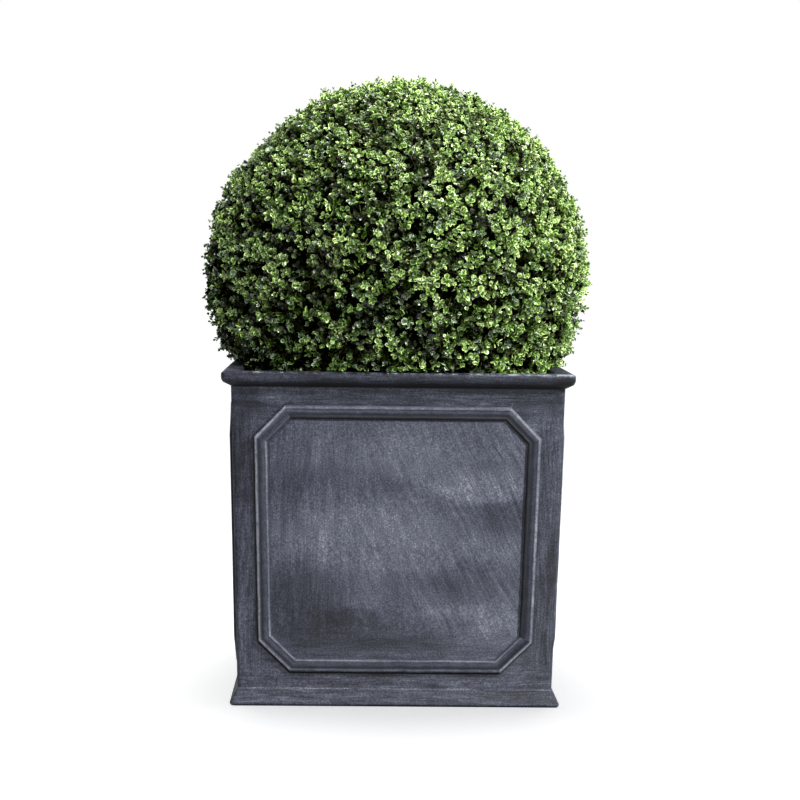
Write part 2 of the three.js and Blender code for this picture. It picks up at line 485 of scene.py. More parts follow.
@dataclass(frozen=True)
class LeadWash:
    """The grey wash brushed over the near-black casting, rubbed light on the edges, with painted light and
    shade on the rim and the mouldings.
    """

    lines: PanelLines
    deep: Colour = paint(9, 9, 12)
    ground: Colour = paint(26, 29, 37)
    wash: Colour = paint(50, 53, 64)
    bloom: Colour = paint(76, 79, 89)
    chalk: Colour = paint(120, 123, 130)
    across_stroke: float = 430.0
    along_stroke: float = 24.0
    gloss: float = 0.2
    stroke_depth: float = 0.00025
    casting_mottle: float = 75.0
    moulding_mottle: float = 80.0
    grain_scale: float = 390.0
    light_across: float = 0.6
    light_up: float = 0.8
    # Tones across the section, by inset in millimetres, for runs that face away from the light and towards
    # it: painted light and shade over the wash.
    run_away_from_light: Pairs = (
        (0.0, 0.28), (1.0, 0.80), (2.4, 0.92), (4.0, 0.70), (5.5, 0.34), (7.0, 0.14), (8.0, 0.12),
        (10.0, 0.28), (13.0, 0.40), (15.5, 0.50), (17.3, 0.70), (18.7, 0.78), (20.5, 0.50), (22.0, 0.30),
    )
    run_towards_light: Pairs = (
        (0.0, 0.52), (1.2, 0.66), (3.0, 0.80), (4.6, 0.76), (6.0, 0.60), (7.5, 0.46), (9.5, 0.40),
        (11.0, 0.32), (13.0, 0.22), (16.0, 0.15), (19.0, 0.10), (20.5, 0.20), (22.0, 0.36),
    )
    patches: tuple[RubbedPatch, ...] = table_of(
        RubbedPatch,
        (-0.068, 0.275, 0.13, 0.060, 0.12), (0.045, 0.285, 0.09, 0.075, 0.03),
        (0.136, 0.357, 0.07, 0.028, 0.13), (0.020, 0.405, 0.10, 0.035, 0.07),
        (0.100, 0.137, 0.11, 0.026, 0.13), (0.120, 0.250, 0.08, 0.022, 0.08),
        (-0.114, 0.350, 0.10, 0.036, -0.04), (0.165, 0.305, 0.07, 0.024, -0.15),
        (0.125, 0.200, 0.10, 0.030, -0.13), (-0.158, 0.157, 0.08, 0.070, -0.20),
        (-0.030, 0.120, 0.15, 0.036, -0.20), (-0.185, 0.290, 0.05, 0.110, -0.04),
        (-0.020, 0.088, 0.20, 0.022, -0.08),
    )
    frame_patches: tuple[RubbedPatch, ...] = table_of(
        RubbedPatch,
        (0.222, 0.462, 0.022, 0.022, 0.22), (-0.238, 0.486, 0.030, 0.028, -0.16),
        (-0.120, 0.497, 0.060, 0.010, -0.08), (0.130, 0.498, 0.050, 0.010, 0.08),
        (-0.246, 0.380, 0.016, 0.060, -0.12), (-0.244, 0.180, 0.016, 0.070, 0.12),
        (0.247, 0.330, 0.016, 0.050, 0.03), (0.248, 0.210, 0.016, 0.060, -0.14),
        (0.080, 0.040, 0.080, 0.008, 0.10), (-0.160, 0.040, 0.070, 0.008, -0.08),
        (-0.190, 0.487, 0.032, 0.006, 0.16), (0.160, 0.488, 0.028, 0.005, 0.14),
        (0.270, 0.519, 0.024, 0.010, -0.40), (-0.150, 0.521, 0.090, 0.006, -0.07),
    )

    def strokes(self, sheet: NodeSheet, along: Signal, across: Signal, side: Signal) -> Signal:
        """Gives the fine streaks of a dry brush drawn along a direction.

        Args:
            sheet: The nodes.
            along: The distance along the stroke.
            across: The distance across it.
            side: The number of the side, so that no two sides have the same streaks.

        Returns:
            Streaks from 0 to 1, about 0.5 on average.
        """
        sway = sheet.noise(sheet.join(along * 9.0, across * 9.0, side), 1.0, 1.0) * 0.014
        long, wide = along * self.along_stroke, (across + sway) * self.across_stroke
        fine = sheet.noise(sheet.join(long, wide, side * 5.7), 1.0, 3.0, 0.7)
        broad = sheet.noise(sheet.join(long * 0.5, wide * 0.24, side * 3.1), 1.0, 2.0, 0.55)
        swath = sheet.noise(sheet.join(long * 0.3, wide * 0.12, side * 1.9), 1.0, 2.0, 0.5)
        return fine * 0.48 + broad * 0.30 + swath * 0.22

    def colour(self, sheet: NodeSheet, tone: Signal) -> Signal:
        """Turns a tone from 0 to 1 into the wash's colour."""
        colours = (self.deep, self.ground, self.wash, self.bloom, self.chalk)
        return sheet.ramp(tone, [(number / 4, colour) for number, colour in enumerate(colours)])

    def read(self, sheet: NodeSheet) -> SideReading:
        """Makes the nodes that read the charts of a side and its noise.

        Args:
            sheet: The nodes.

        Returns:
            What is read at a point.
        """
        across, height = sheet.chart("brush")
        side, place = sheet.attribute("side"), sheet.place()
        lines = self.lines
        edge = lines.to_band(across, height)
        return SideReading(
            across=across,
            height=height,
            side=side,
            edge=edge,
            panel=edge.rise(0.002 - lines.band_width, -lines.band_width),
            rim=height.rise(lines.top_height - 0.001, lines.top_height + 0.002),
            cloud=sheet.noise(sheet.join(across * 5.0, height * 11.0, side * 4.7 + 2.0), 1.0, 3.0, 0.55, 0.6),
            billow=sheet.noise(sheet.join(across * 8.0, height * 8.0, side * 2.3 + 7.0), 1.0, 2.0, 0.5, 0.4),
            mottle=sheet.noise(place, self.casting_mottle, 4.0, 0.7),
            grain=sheet.noise(place, self.grain_scale, 3.0, 0.75),
        )

    def brushed(self, sheet: NodeSheet, at: SideReading) -> Signal:
        """Gives the brush strokes of a side: along its rails and stiles, and fanned out on the panel.

        Args:
            sheet: The nodes.
            at: What is read at the point.

        Returns:
            Streaks from 0 to 1.
        """
        across, height, side = at.across, at.height, at.side
        level = self.strokes(sheet, across, height, side)
        upright = self.strokes(sheet, height, across, side + 0.5)
        slant = self.strokes(sheet, across * 0.45 - height * 0.89, across * 0.89 + height * 0.45, side + 0.25)
        stile = (abs(across) - self.lines.reach(height)).rise(-0.054, -0.030)
        rail = (abs(height - self.lines.band_middle) - self.lines.band_half).rise(-0.024, 0.010)
        on_frame = self.blend(level, upright, stile * (1.0 - rail))
        on_panel = self.blend(slant * 0.6 + upright * 0.4, upright, across.rise(-0.02, -0.14))
        on_panel = self.blend(on_panel, slant, across.rise(0.03, 0.12))
        on_panel = self.blend(on_panel, level, height.rise(0.150, 0.085))
        return self.blend(on_frame, on_panel, at.panel)

    def broad_tone(self, at: SideReading, stroke: Signal) -> Signal:
        """Gives the tone of frame and panel, with the rubbed patches, the blotches and the strokes.

        Args:
            at: What is read at the point.
            stroke: The brush strokes.

        Returns:
            The tone, where 0 is bare casting and 1 is chalk.
        """
        lines, cloud, billow, mottle = self.lines, at.cloud - 0.5, at.billow - 0.5, at.mottle - 0.5
        moved, lifted = at.across + billow * 0.09, at.height + cloud * 0.07
        rubbed = sum((patch.tone(moved, lifted) for patch in self.patches), 0.0)
        worn_across, worn_up = at.across + billow * 0.03, at.height + mottle * 0.04
        worn = sum((patch.tone(worn_across, worn_up) for patch in self.frame_patches), 0.0)
        # The frame is darker to the right and up towards the rim, and a little lighter towards the foot.
        frame_tone = 0.37 - at.across * 0.15 - at.height.rise(lines.band_top, lines.top_height) * 0.08
        frame_tone = frame_tone + at.height.rise(lines.band_foot + 0.03, lines.foot_height) * 0.05
        tone = self.blend(frame_tone + worn + cloud * 0.3, 0.54 + rubbed + cloud * 0.2, at.panel)
        tone = tone + billow * 0.18 + mottle * (0.44 - at.panel * 0.18) + (at.grain - 0.5) * 1.25
        return tone + (stroke - 0.5) * (1.8 - at.panel * 0.6)

    def rim_tone(self, at: SideReading, tone: Signal) -> Signal:
        """Gives the tone with the rim's lip lightened as a painted highlight, more to the right, its top edge
        lightened as rubbed wash and painted highlight both, painted shade down the inside and towards the
        rim's underside, painted shadow lines under the rim and at the ground, and a light line at the
        plinth's top of rubbed wash and painted highlight both.

        Args:
            at: What is read at the point.
            tone: The tone so far.

        Returns:
            The tone with them.
        """
        lines, across, height, mottle = self.lines, at.across, at.height, at.mottle
        # The lip is lightened towards the rim's top and to the right as a painted highlight, and the inside
        # of the rim is darkened as painted shade.
        lip = height.rise(lines.rim_top - 0.008, lines.rim_top - 0.001)
        inside = height.rise(lines.rim_top + 0.020, lines.rim_top + 0.050)
        tone = tone + lip * (across.rise(0.0, 0.2) * 0.26 - 0.02 + (mottle - 0.5) * 0.8) - inside * 0.2
        # The top edge is a light line of rubbed wash, lighter to the right as a painted highlight.
        arris = height.line(lines.rim_top - 0.0005, 0.0030)
        tone = tone + arris * (0.12 + across.rise(-0.2, 0.2) * 0.12 + (mottle - 0.5) * 3.0)
        # Painted shade towards the rim's underside, a painted shadow line under the rim, and a painted
        # contact shadow at the ground.
        tone = tone - at.rim * height.rise(lines.top_height + 0.016, lines.top_height) * 0.2
        tone = tone - height.line(lines.top_height + 0.0008, 0.0032) * 0.4 - height.rise(0.004, 0.0) * 0.35
        # A light line at the plinth's top: rubbed wash and a painted highlight of its edge.
        return tone + height.line(lines.foot_height + 0.0005, 0.0028) * 0.26 * (mottle + 0.45)

    def edge_tone(self, at: SideReading, tone: Signal) -> Signal:
        """Gives the tone with the moulding's shadow lines and the rubbed upright corners.

        Args:
            at: What is read at the point.
            tone: The tone so far.

        Returns:
            The tone with them.
        """
        lines, across, height = self.lines, at.across, at.height
        lit = (across * self.light_across + (height - lines.band_middle) * self.light_up).rise(-0.16, 0.16)
        tone = tone - at.edge.line(0.0012, 0.0034) * (1.0 - lit) * 0.42
        tone = tone - at.edge.line(-lines.band_width - 0.0008, 0.0032) * lit * 0.42
        corner = (abs(across) - lines.reach(height)).rise(-0.006, -0.001)
        return tone + corner * (at.mottle - 0.35) * 0.5 * (1.0 - at.rim)

    def casting(self) -> bpy.types.Material:
        """Makes the finish of the casting, with strokes that follow the rails, stiles and panel.

        Returns:
            The material.
        """
        sheet = NodeSheet("lead_wash_casting")
        at = self.read(sheet)
        stroke = self.brushed(sheet, at)
        tone = self.edge_tone(at, self.rim_tone(at, self.broad_tone(at, stroke)))
        relief = stroke * 0.7 + at.grain * 0.8 + at.mottle * 0.7
        sheet.surface(self.colour(sheet, tone), 0.70 - stroke * 0.2, relief, self.stroke_depth, self.gloss)
        return sheet.owner

    def moulding(self) -> bpy.types.Material:
        """Makes the finish of the mouldings: tones across the section for runs that face the light and runs
        that face away, as painted light and shade over the wash's light crest and bead and dark grooves, and
        strokes along the run.

        Returns:
            The material.
        """
        sheet = NodeSheet("lead_wash_moulding")
        along, inset = sheet.chart("brush")
        side = sheet.attribute("side")
        out_across, out_up = sheet.attribute("out_across"), sheet.attribute("out_up")
        place = sheet.place()
        mottle = sheet.noise(place, self.moulding_mottle, 4.0, 0.7)
        grain = sheet.noise(place, self.grain_scale, 3.0, 0.75)
        stroke = self.strokes(sheet, along, inset, side + 0.8)
        width = self.lines.band_width
        tone_away_from_light, tone_towards_light = (
            sheet.curve(inset / width, [(inset_mm / 1000 / width, tone) for inset_mm, tone in run])
            for run in (self.run_away_from_light, self.run_towards_light)
        )
        crest = inset.line(0.0022, 0.0028)
        cut = (out_across * out_up) * (out_across * out_up) * 4.0
        lit = out_across * self.light_across + out_up * self.light_up
        # Runs that face the light take the lighter tones and runs that face away take the darker ones. The
        # up-facing cut runs get a lighter strip, the crest is darkened on the top run and more on the bottom
        # run, and the top run gets a light line: painted light and shade.
        tone = self.blend(tone_away_from_light, tone_towards_light, lit.rise(-0.16, 0.60))
        tone = tone * 1.14 - 0.03
        tone = tone + cut * out_up.rise(0.0, 0.5) * inset.line(0.0068, 0.0052) * 0.24
        top = out_up.rise(0.75, 1.0)
        tone = tone - crest * (top * 0.16 + out_up.rise(-0.75, -1.0) * 0.48)
        tone = tone + top * inset.line(0.0098, 0.0035) * 0.14
        tone = tone + (stroke - 0.5) * 0.7 + (mottle - 0.5) * (0.45 + crest * 0.6) + (grain - 0.5) * 0.7
        relief = stroke * 0.6 + grain * 0.8 + mottle
        sheet.surface(self.colour(sheet, tone), 0.66 - crest * 0.14, relief, self.stroke_depth, self.gloss)
        return sheet.owner

    @staticmethod
    def blend(first: Signal, second: Signal, share: Signal) -> Signal:
        """Mixes two numbers by the share of the second."""
        return first + (second - first) * share


@dataclass(frozen=True)
class PottingSoilFinish:
    """Dark crumbly compost."""

    damp: Colour = paint(22, 17, 13)
    dry: Colour = paint(74, 58, 44)
    crumb_scale: float = 210.0
    patch_scale: float = 18.0
    depth: float = 0.002
    gloss: float = 0.2

    def material(self) -> bpy.types.Material:
        """Makes the material.

        Returns:
            The material.
        """
        sheet = NodeSheet("potting_soil")
        place = sheet.place()
        crumbs = sheet.noise(place, self.crumb_scale, 5.0, 0.7)
        patches = sheet.noise(place, self.patch_scale)
        colour = sheet.mix(crumbs * 0.8 + patches * 0.5 - 0.25, self.damp, self.dry)
        sheet.surface(colour, 0.85 + crumbs * 0.1, crumbs + patches, self.depth, self.gloss)
        return sheet.owner


@dataclass(frozen=True)
class BarkFinish:
    """Ribbed brown bark, greener on the young twigs."""

    name: str
    furrow: Colour
    ridge: Colour
    up_scale: float = 45.0
    round_scale: float = 260.0
    fleck_scale: float = 520.0
    depth: float = 0.0012
    gloss: float = 0.25

    def material(self) -> bpy.types.Material:
        """Makes the material.

        Returns:
            The material.
        """
        sheet = NodeSheet(self.name)
        place = sheet.place()
        ribs = sheet.noise(place * (self.round_scale, self.round_scale, self.up_scale), 1.0, 4.0, 0.65)
        flecks = sheet.noise(place, self.fleck_scale)
        colour = sheet.mix(ribs * 0.9 + flecks * 0.4 - 0.15, self.furrow, self.ridge)
        sheet.surface(colour, 0.9 - ribs * 0.2, ribs + flecks * 0.4, self.depth, self.gloss)
        return sheet.owner


@dataclass(frozen=True)
class LeafFinish:
    """One tone of leaf: a dull middle, a margin lightened as a painted highlight of the cupped rim, a shift
    by leaf, and painted shade deep in the ball.
    """

    name: str
    dark: Colour
    light: Colour
    # The margin colour is a painted highlight where the cupped rim catches light.
    margin: Colour
    roughness: float = 0.21
    gloss: float = 0.8
    shaded: float = 0.293
    open_air: float = 0.325
    speckle_scale: float = 420.0
    depth: float = 0.0004

    def material(self) -> bpy.types.Material:
        """Makes the material.

        Returns:
            The material.
        """
        sheet = NodeSheet(f"leaf_{self.name}")
        place = sheet.place()
        edge = sheet.attribute("margin")
        tint = sheet.attribute("tint")
        speckle = sheet.noise(place, self.speckle_scale)
        body = sheet.mix(tint * 0.9 + (speckle - 0.5) * 0.5, self.dark, self.light)
        # The margin is lightened as a painted highlight of the cupped rim, and leaves deep in the ball are
        # darkened towards black as painted shade.
        colour = sheet.mix(edge.rise(0.34, 0.95) * 0.95, body, self.margin)
        shade = sheet.length(place - BALL_CENTRE).rise(self.open_air, self.shaded) * 0.95
        colour = sheet.mix(shade, colour, BLACK)
        sheet.surface(colour, self.roughness + speckle * 0.14, speckle + edge * 0.6, self.depth, self.gloss)
        return sheet.owner


class Tone(Enum):
    """The tones of leaf, from the newest tips to the leaves inside; DEEP and SHADE are darkened copies for
    leaves deep in the ball, as painted shade, and each margin colour is a painted highlight.
    """

    BRIGHT = LeafFinish("bright", paint(62, 95, 15), paint(105, 141, 37), paint(215, 242, 157))
    FRESH = LeafFinish("fresh", paint(46, 77, 9), paint(83, 120, 26), paint(187, 221, 127))
    MID = LeafFinish("mid", paint(31, 55, 6), paint(58, 92, 19), paint(151, 187, 100), 0.23, 0.55)
    GREY = LeafFinish("grey", paint(31, 51, 20), paint(55, 81, 40), paint(156, 180, 140), 0.20, 0.9)
    # Painted shade: the darkest copies, for leaves deep in the ball.
    DEEP = LeafFinish("deep", paint(15, 25, 2), paint(31, 49, 6), paint(84, 113, 40), 0.30, 0.08)
    SHADE = LeafFinish("shade", paint(5, 8, 1), paint(12, 18, 2), paint(24, 33, 5), 0.5, 0.0)


@dataclass(frozen=True)
class CoreFinish:
    """The dark heart of the ball, mottled like leaves seen deep in shade."""

    dark: Colour = paint(3, 4, 1)
    light: Colour = paint(11, 15, 4)
    leaf_scale: float = 120.0
    patch_scale: float = 30.0
    depth: float = 0.004
    gloss: float = 0.08

    def material(self) -> bpy.types.Material:
        """Makes the material.

        Returns:
            The material.
        """
        sheet = NodeSheet("inner_shade")
        place = sheet.place()
        cells = sheet.node("ShaderNodeTexVoronoi", None, {"Vector": place, "Scale": self.leaf_scale})
        leaves = cells.rise(0.55, 0.1)
        patches = sheet.noise(place, self.patch_scale, 3.0)
        colour = sheet.mix(leaves * patches, self.dark, self.light)
        sheet.surface(colour, 0.8 - leaves * 0.1, leaves, self.depth, self.gloss)
        return sheet.owner


@dataclass
class Planter:
    """The square planter: one casting with its rim and plinth, and a moulding on each side."""

    lines: PanelLines
    corner: float = 0.007
    corner_steps: int = 5
    plinth_half: float = 0.2635
    sole_in: float = 0.002
    sole_up: float = 0.003
    nose: float = 0.005
    nose_height: float = 0.004
    nose_turn: float = 50.0
    rim_half: float = 0.280
    rim_round: float = 0.012
    rim_turn: float = 45.0
    rim_face: float = 0.004
    rim_edge: float = 0.005
    floor: float = 0.020
    arc_steps: int = 7
    band_root: float = 0.003
    band_profile: Pairs = (
        (0.0, 3.0), (0.4, 3.9), (1.0, 4.6), (1.9, 5.2), (3.2, 5.5), (4.6, 5.4), (5.6, 4.9), (6.3, 4.2),
        (7.1, 4.0), (9.0, 3.9), (12.0, 3.3), (14.5, 2.7), (16.3, 2.8), (17.3, 3.3), (18.4, 3.7),
        (19.6, 3.3), (20.8, 2.0), (22.0, -3.0),
    )
    run_cuts: int = 14
    run_shake: float = 0.0007
    shake_shifts: tuple[Triple, ...] = ((0.0, 0.0, 0.0), (3.13, 1.71, 5.37), (7.91, 4.33, 2.27))
    shake_lumps: Triple = (28.0, 90.0, 0.7)

    def arc(self, wide: float, high: float, radius: float, start: float, end: float) -> Pairs:
        """Gives the points of an arc of the profile.

        Args:
            wide: The half width at the arc's centre.
            high: The height of the arc's centre.
            radius: The arc's radius.
            start: The angle in degrees that it starts at, from the outward direction.
            end: The angle that it ends at.

        Returns:
            The points as half width and height.
        """
        steps = range(self.arc_steps + 1)
        angles = (math.radians(start + (end - start) * step / self.arc_steps) for step in steps)
        return tuple((wide + radius * math.cos(a), high + radius * math.sin(a)) for a in angles)

    def profile(self) -> Pairs:
        """Gives the outline from the foot up, over the rim and down to the floor inside.

        Returns:
            The points as half width and height.
        """
        lines = self.lines
        edge, under = lines.rim_top - self.rim_edge, self.rim_half - self.rim_round
        lip = lines.reach(lines.rim_top) - lines.wall + self.rim_edge
        return (
            (self.plinth_half - self.sole_in, 0.0),
            (self.plinth_half, self.sole_up),
            *self.arc(self.plinth_half - self.nose, self.nose_height, self.nose, 0, self.nose_turn),
            (lines.foot_half, lines.foot_height),
            (lines.top_half, lines.top_height),
            *self.arc(under, edge - self.rim_face, self.rim_round, -self.rim_turn, 0),
            *self.arc(self.rim_half - self.rim_edge, edge, self.rim_edge, 0, 90),
            *self.arc(lip, edge, self.rim_edge, 90, 180),
            (lines.reach(self.floor) - lines.wall, self.floor),
        )

    def casting(self) -> bpy.types.Object:
        """Models the casting by drawing a rounded square up the profile.

        Returns:
            The linked piece.
        """
        shape = bmesh.new()
        outline = self.profile()
        half, level = outline[0]
        bmesh.ops.create_grid(shape, x_segments=1, y_segments=1, size=half)
        run = shape.verts.layers.float.new("run")
        cap, walked = cut_corners(shape, self.corner, self.corner_steps), 0.0
        top = self.lines.rim_top
        for number, (wide, high) in enumerate(outline[1:]):
            cap = draw_on(shape, cap, number == 0)
            ring = list(cap.verts)
            bmesh.ops.scale(shape, vec=(wide / half, wide / half, 1.0), verts=ring)
            bmesh.ops.translate(shape, vec=(0.0, 0.0, high - level), verts=ring)
            going_in = max(high, walked) > top - 1e-6
            walked = max(walked, top) + math.hypot(wide - half, high - level) if going_in else high
            for vert in ring:
                vert[run] = walked
            half, level = wide, high
        self.chart_sides(shape, run)
        return finish_mesh("planter_casting", shape, crease=34, flat_from=0.003)

    @staticmethod
    def chart_sides(shape: BMesh, run: BMLayerItem) -> None:
        """Gives each side its own chart, across and up, and its own number.

        Args:
            shape: The casting.
            run: The layer with the distance up the outside and on over the rim.
        """
        chart = shape.loops.layers.uv.new("brush")
        side_of = shape.faces.layers.float.new("side")
        for face in shape.faces:
            centre = face.calc_center_median()
            side = round(math.atan2(centre.y, centre.x) / (math.pi / 2) + 1) % 4
            turned = Matrix.Rotation(-side * math.pi / 2, 3, "Z")
            face[side_of] = side
            for loop in face.loops:
                loop[chart].uv = ((turned @ loop.vert.co).x, loop.vert[run])

    def mouldings(self) -> bpy.types.Object:
        """Models the four cut-cornered mouldings by insetting a frame along its section.

        Returns:
            The linked piece.
        """
        shape = bmesh.new()
        bmesh.ops.create_grid(shape, x_segments=1, y_segments=1, size=1.0)
        for vert in shape.verts:
            height = self.lines.band_top if vert.co.y > 0 else self.lines.band_foot
            stile = self.lines.reach(height) - self.lines.band_margin
            vert.co = (math.copysign(stile, vert.co.x), self.band_root - self.lines.reach(height), height)
        shape.normal_update()
        shape.faces.ensure_lookup_table()
        face = shape.faces[0]
        if face.normal.y > 0:
            bmesh.ops.reverse_faces(shape, faces=[face])
        inset_of = shape.verts.layers.float.new("inset")
        face, inset, relief = cut_corners(shape, self.lines.band_cut, 1), 0.0, -self.band_root
        for wide, deep in self.band_profile:
            wide, deep = wide / 1000, deep / 1000
            bmesh.ops.inset_region(
                shape, faces=[face], thickness=wide - inset, depth=deep - relief, use_boundary=True,
                use_even_offset=True,
            )
            inset, relief = wide, deep
            for vert in face.verts:
                vert[inset_of] = inset
        bmesh.ops.delete(shape, geom=[face], context="FACES_ONLY")
        bmesh.ops.bridge_loops(shape, edges=[edge for edge in shape.edges if edge.is_boundary])
        long_edges = [edge for edge in shape.edges if edge.calc_length() > self.lines.band_cut * 0.6]
        bmesh.ops.subdivide_edges(shape, edges=long_edges, cuts=self.run_cuts, use_grid_fill=True)
        self.chart_runs(shape, inset_of)
        side_of = shape.faces.layers.float.new("side")
        first = shape.faces[:]
        for turn in range(1, 4):
            made = bmesh.ops.duplicate(shape, geom=first)["geom"]
            turned = Matrix.Rotation(turn * math.pi / 2, 3, "Z")
            bmesh.ops.rotate(shape, cent=(0, 0, 0), matrix=turned, verts=only(made, BMVert))
            for face in only(made, BMFace):
                face[side_of] = turn
        for vert in shape.verts:
            shake = [lumps(vert.co + Vector(shift), *self.shake_lumps) for shift in self.shake_shifts]
            vert.co += Vector(shake) * self.run_shake
        return finish_mesh("panel_mouldings", shape, crease=50, flat_from=1.0)

    def chart_runs(self, shape: BMesh, inset_of: BMLayerItem) -> None:
        """Charts a moulding along its run and across its section, and notes which way a run faces outward.

        Args:
            shape: The moulding of one side.
            inset_of: The layer with the distance in from the outer edge.
        """
        middle = Vector((0.0, 0.0, self.lines.band_middle))
        chart = shape.loops.layers.uv.new("brush")
        across_of, up_of = (shape.faces.layers.float.new(name) for name in ("out_across", "out_up"))
        for face in shape.faces:
            longest = max(face.edges, key=lambda edge: edge.calc_length())
            along = (longest.verts[1].co - longest.verts[0].co).normalized()
            if along.x + along.z * 1.01 < 0:
                along.negate()
            for loop in face.loops:
                loop[chart].uv = (loop.vert.co.dot(along), loop.vert[inset_of])
            outward = Vector((-along.z, 0.0, along.x))
            if outward.dot(face.calc_center_median() - middle) < 0:
                outward.negate()
            face[across_of], face[up_of] = outward.x, outward.z

    def build(self, wash: LeadWash) -> None:
        """Makes the planter's two pieces and dresses them."""
        install(self.casting(), Node.PLANTER, wash.casting())
        install(self.mouldings(), Node.PLANTER, wash.moulding())


@dataclass
class PottingSoil:
    """The block of compost in the planter, crumbly on top and lower against the walls."""

    lines: PanelLines
    clear: float = 0.0004
    below_top: float = 0.0002
    cells: int = 56
    fall: float = 0.006
    crumb: float = 0.0022
    crumb_lumps: Triple = (26.0, 61.0, 0.6)

    def build(self) -> None:
        """Models the compost and dresses it."""
        low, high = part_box(Node.SOIL.value)
        shape = bmesh.new()
        bmesh.ops.create_grid(shape, x_segments=self.cells, y_segments=self.cells, size=1.0)
        gap = self.lines.wall + self.clear
        half, foot = self.lines.reach(high.z - self.fall) - gap, self.lines.reach(low.z) - gap
        for vert in shape.verts:
            to_wall = max(abs(vert.co.x), abs(vert.co.y))
            drop = self.fall * to_wall ** 3 + (1.0 - lumps(vert.co, *self.crumb_lumps)) * self.crumb
            vert.co = (vert.co.x * half, vert.co.y * half, high.z - drop - self.below_top)
        border = [edge for edge in shape.edges if edge.is_boundary]
        made = bmesh.ops.extrude_edge_only(shape, edges=border)["geom"]
        for vert in only(made, BMVert):
            vert.co = (vert.co.x * foot / half, vert.co.y * foot / half, low.z)
        bmesh.ops.contextual_create(shape, geom=only(made, BMEdge))
        piece = finish_mesh("potting_compost", shape, crease=60, flat_from=0.01)
        install(piece, Node.SOIL, PottingSoilFinish().material())


@dataclass
class Stem:
    """The short stem between the compost and the ball, flared into root lobes."""

    radius: float = 0.019
    flare: float = 0.024
    lobes: int = 5
    lobe_base: float = 0.65
    lobe_share: float = 0.35
    sides: int = 40
    rings: int = 14
    lean: float = 0.005
    relief: float = 0.0009
    ribs_round: float = 5.0
    ribs_up: float = 2.0

    def ring_radius(self, up: float, angle: float) -> float:
        """Gives the stem's radius at a share of its height and an angle round it."""
        spread = self.flare * (1 - up) ** 3
        return self.radius + spread * (self.lobe_base + self.lobe_share * math.cos(self.lobes * angle))

    def build(self) -> None:
        """Models the stem and dresses it in bark."""
        low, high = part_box(Node.STEM.value)
        shape = bmesh.new()
        bmesh.ops.create_circle(shape, cap_ends=True, radius=self.radius, segments=self.sides)
        shape.faces.ensure_lookup_table()
        cap = shape.faces[0]
        self.draw_ring(list(cap.verts), 0.0, low.z, high.z)
        for ring in range(1, self.rings + 1):
            cap = draw_on(shape, cap, ring == 1)
            self.draw_ring(list(cap.verts), ring / self.rings, low.z, high.z)
        piece = finish_mesh("bark_stem", shape, crease=60, flat_from=1.0)
        bark = BarkFinish("stem_bark", paint(34, 26, 20), paint(104, 88, 70))
        install(piece, Node.STEM, bark.material())

    def draw_ring(self, verts: list[BMVert], up: float, foot: float, top: float) -> None:
        """Sets one ring of the stem to its radius, height, lean and ribs.

        Args:
            verts: The ring's vertices.
            up: The ring's share of the height.
            foot: The height of the stem's foot.
            top: The height of its top.
        """
        middle = self.lean * up
        for vert in verts:
            angle = math.atan2(vert.co.y, vert.co.x - middle)
            across, ahead = math.cos(angle), math.sin(angle)
            where = Vector((across * self.ribs_round, ahead * self.ribs_round, up * self.ribs_up))
            radius = self.ring_radius(up, angle) + noise.noise(where) * self.relief
            vert.co = (middle + radius * across, radius * ahead, foot + (top - foot) * up)


def unit(vectors: np.ndarray) -> np.ndarray:
    """Scales each row to a length of one."""
    return vectors / np.linalg.norm(vectors, axis=-1, keepdims=True)


def square_to(axes: np.ndarray) -> tuple[np.ndarray, np.ndarray]:
    """Gives two directions square to each axis and to each other."""
    first = unit(np.cross(axes, np.where(np.abs(axes[:, 2:3]) < 0.9, (0.0, 0.0, 1.0), (1.0, 0.0, 0.0))))
    return first, np.cross(axes, first)


def spiral(count: int) -> np.ndarray:
    """Gives directions spread evenly over a ball by the golden angle, as the source does.

    Args:
        count: How many directions there are.

    Returns:
        One unit vector to a row.
    """
    step = np.arange(count)
    high = 1 - (2 * step + 1) / count
    wide = np.sqrt(1 - high ** 2)
    return np.stack([wide * np.cos(step * GOLDEN_ANGLE), wide * np.sin(step * GOLDEN_ANGLE), high], axis=1)


def join_copies(
    name: str, points: np.ndarray, corners: np.ndarray, numbers: dict[str, np.ndarray]
) -> bpy.types.Object:
    """Joins copies of one small shape into a mesh.

    Args:
        name: The name of the piece.
        points: The points of each copy, as copies by points by three.
        corners: The triangles of one copy.
        numbers: Named numbers for each point of each copy.

    Returns:
        The linked piece.
    """
    copies, size = points.shape[:2]
    index = (corners[None, :, :] + (np.arange(copies) * size)[:, None, None]).reshape(-1)
    mesh = bpy.data.meshes.new(name)
    mesh.vertices.add(copies * size)
    mesh.vertices.foreach_set("co", points.reshape(-1).astype(np.float32))
    mesh.loops.add(len(index))
    mesh.loops.foreach_set("vertex_index", index.astype(np.int32))
    mesh.polygons.add(len(index) // 3)
    mesh.polygons.foreach_set("loop_start", np.arange(0, len(index), 3, dtype=np.int32))
    mesh.update(calc_edges=True)
    for key, values in numbers.items():
        layer = mesh.attributes.new(key, "FLOAT", "POINT")
        layer.data.foreach_set("value", values.reshape(-1).astype(np.float32))
    mesh.shade_smooth()
    return link(name, mesh)


